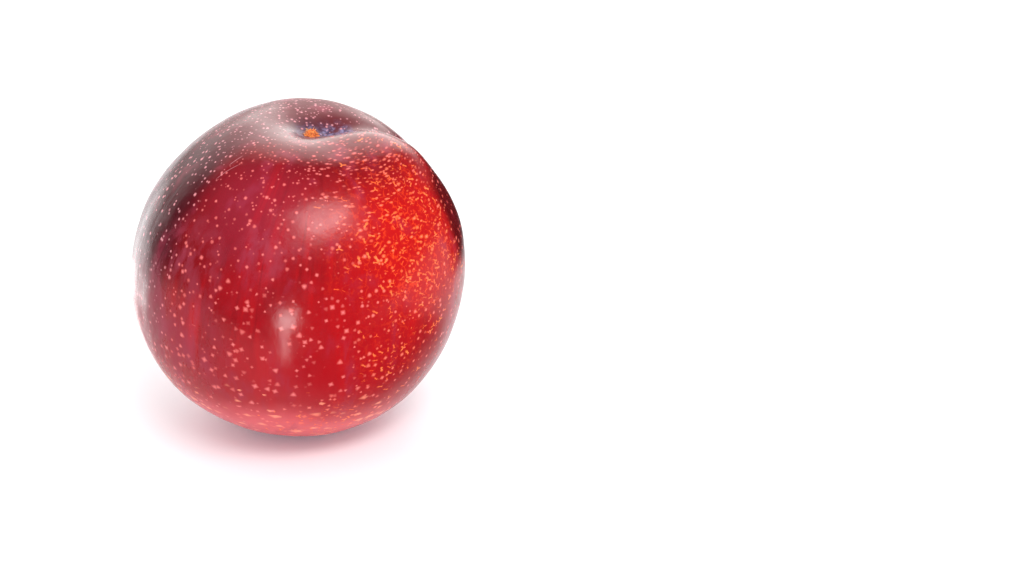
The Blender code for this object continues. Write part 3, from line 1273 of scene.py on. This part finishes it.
def make_world():
    """White for the eye; soft light, stronger from the far side; a shaped reflection."""
    world = bpy.data.worlds.new("soft white studio")
    world.use_nodes = True
    bpy.context.scene.world = world
    tree = Tree(world.node_tree)
    background = world.node_tree.nodes["Background"]
    heading = tree.node("ShaderNodeTexCoord").outputs["Generated"]
    facing = tree.vector("DOT_PRODUCT", heading, tuple(BACKDROP_HEADING))
    east, north, height = tree.parts(heading)
    bright = tree.smooth(east, *BACKDROP_WIDTH, BACKDROP_LEFT, BACKDROP_RIGHT)
    bright = tree.times(bright, tree.smooth(east, *BACKDROP_END))
    bright = tree.smooth(height, *BACKDROP_HEIGHT, BACKDROP_LOW, bright)
    seen = tree.smooth(facing, *BACKDROP_EDGE, ROOM_REFLECTED, bright)
    soft = tree.smooth(north, *ROOM_DEPTH, ROOM_NEAR, ROOM_FAR)
    rays = tree.node("ShaderNodeLightPath").outputs
    glossy = rays["Is Glossy Ray"]
    matte = tree.maths("SUBTRACT", 1.0, glossy)
    level = tree.maths("ADD", tree.times(glossy, seen), tree.times(matte, soft))
    level = tree.most(level, rays["Is Camera Ray"])
    tree.feed(background.inputs["Strength"], level)
    background.inputs["Color"].default_value = ROOM_WHITE


def make_camera():
    """Puts the plum's middle where the photograph has it, with the photograph's view."""
    focal = PIXELS_PER_MM / MM * CAMERA_DISTANCE
    camera = bpy.data.cameras.new("camera")
    camera.sensor_width = SENSOR_WIDTH
    camera.lens = focal * SENSOR_WIDTH / FRAME_WIDTH
    back = Vector((0.0, -math.cos(CAMERA_ELEVATION), math.sin(CAMERA_ELEVATION)))
    up = Vector((0.0, math.sin(CAMERA_ELEVATION), math.cos(CAMERA_ELEVATION)))
    aside = (PLUM_MIDDLE[0] - FRAME_WIDTH / 2.0) / focal * CAMERA_DISTANCE
    above = (FRAME_HEIGHT / 2.0 - PLUM_MIDDLE[1]) / focal * CAMERA_DISTANCE
    middle = Vector(cad_low).lerp(Vector(cad_high), 0.5)
    viewer = bpy.data.objects.new("camera", camera)
    viewer.location = middle + back * CAMERA_DISTANCE - Vector((aside, 0.0, 0.0)) - up * above
    viewer.rotation_euler = (math.pi / 2.0 - CAMERA_ELEVATION, 0.0, 0.0)
    bpy.context.scene.collection.objects.link(viewer)
    bpy.context.scene.camera = viewer


def dress(piece, material):
    """Gives the piece its material, and makes it ride with the fruit."""
    piece.data.materials.append(material)
    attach(piece, "root")


def main():
    groups = {
        "patch": patch_group(),
        "lenticels": lenticel_group(),
        "net": net_group(),
        "streaks": streak_group(),
        "rub": rub_group(),
    }
    points = skin_net()
    lie = Lie(points)
    skin = make_skin(lie, points)
    dress(skin, skin_material(groups))
    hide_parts("plum")
    stem = towards(0.0, 0.0)
    pad = cap_points(stem, SCAR_REACH, SCAR_RINGS, SCAR_COLUMNS, scar_height)
    dress(make_cap("stem_scar", lie, stem, pad, SCAR_COLUMNS, SCAR_ROOT), scar_material())
    dress(make_fibres(lie), fibre_material())
    blossom = towards(*DIMPLE_PLACE)
    nib = cap_points(blossom, NIB_SPAN, NIB_RINGS, NIB_COLUMNS, nib_height)
    dress(make_cap("blossom_point", lie, blossom, nib, NIB_COLUMNS, NIB_ROOT), nib_material())
    make_table()
    make_flags()
    make_light()
    make_world()
    make_camera()
    bpy.context.scene.view_settings.view_transform = "Standard"


main()
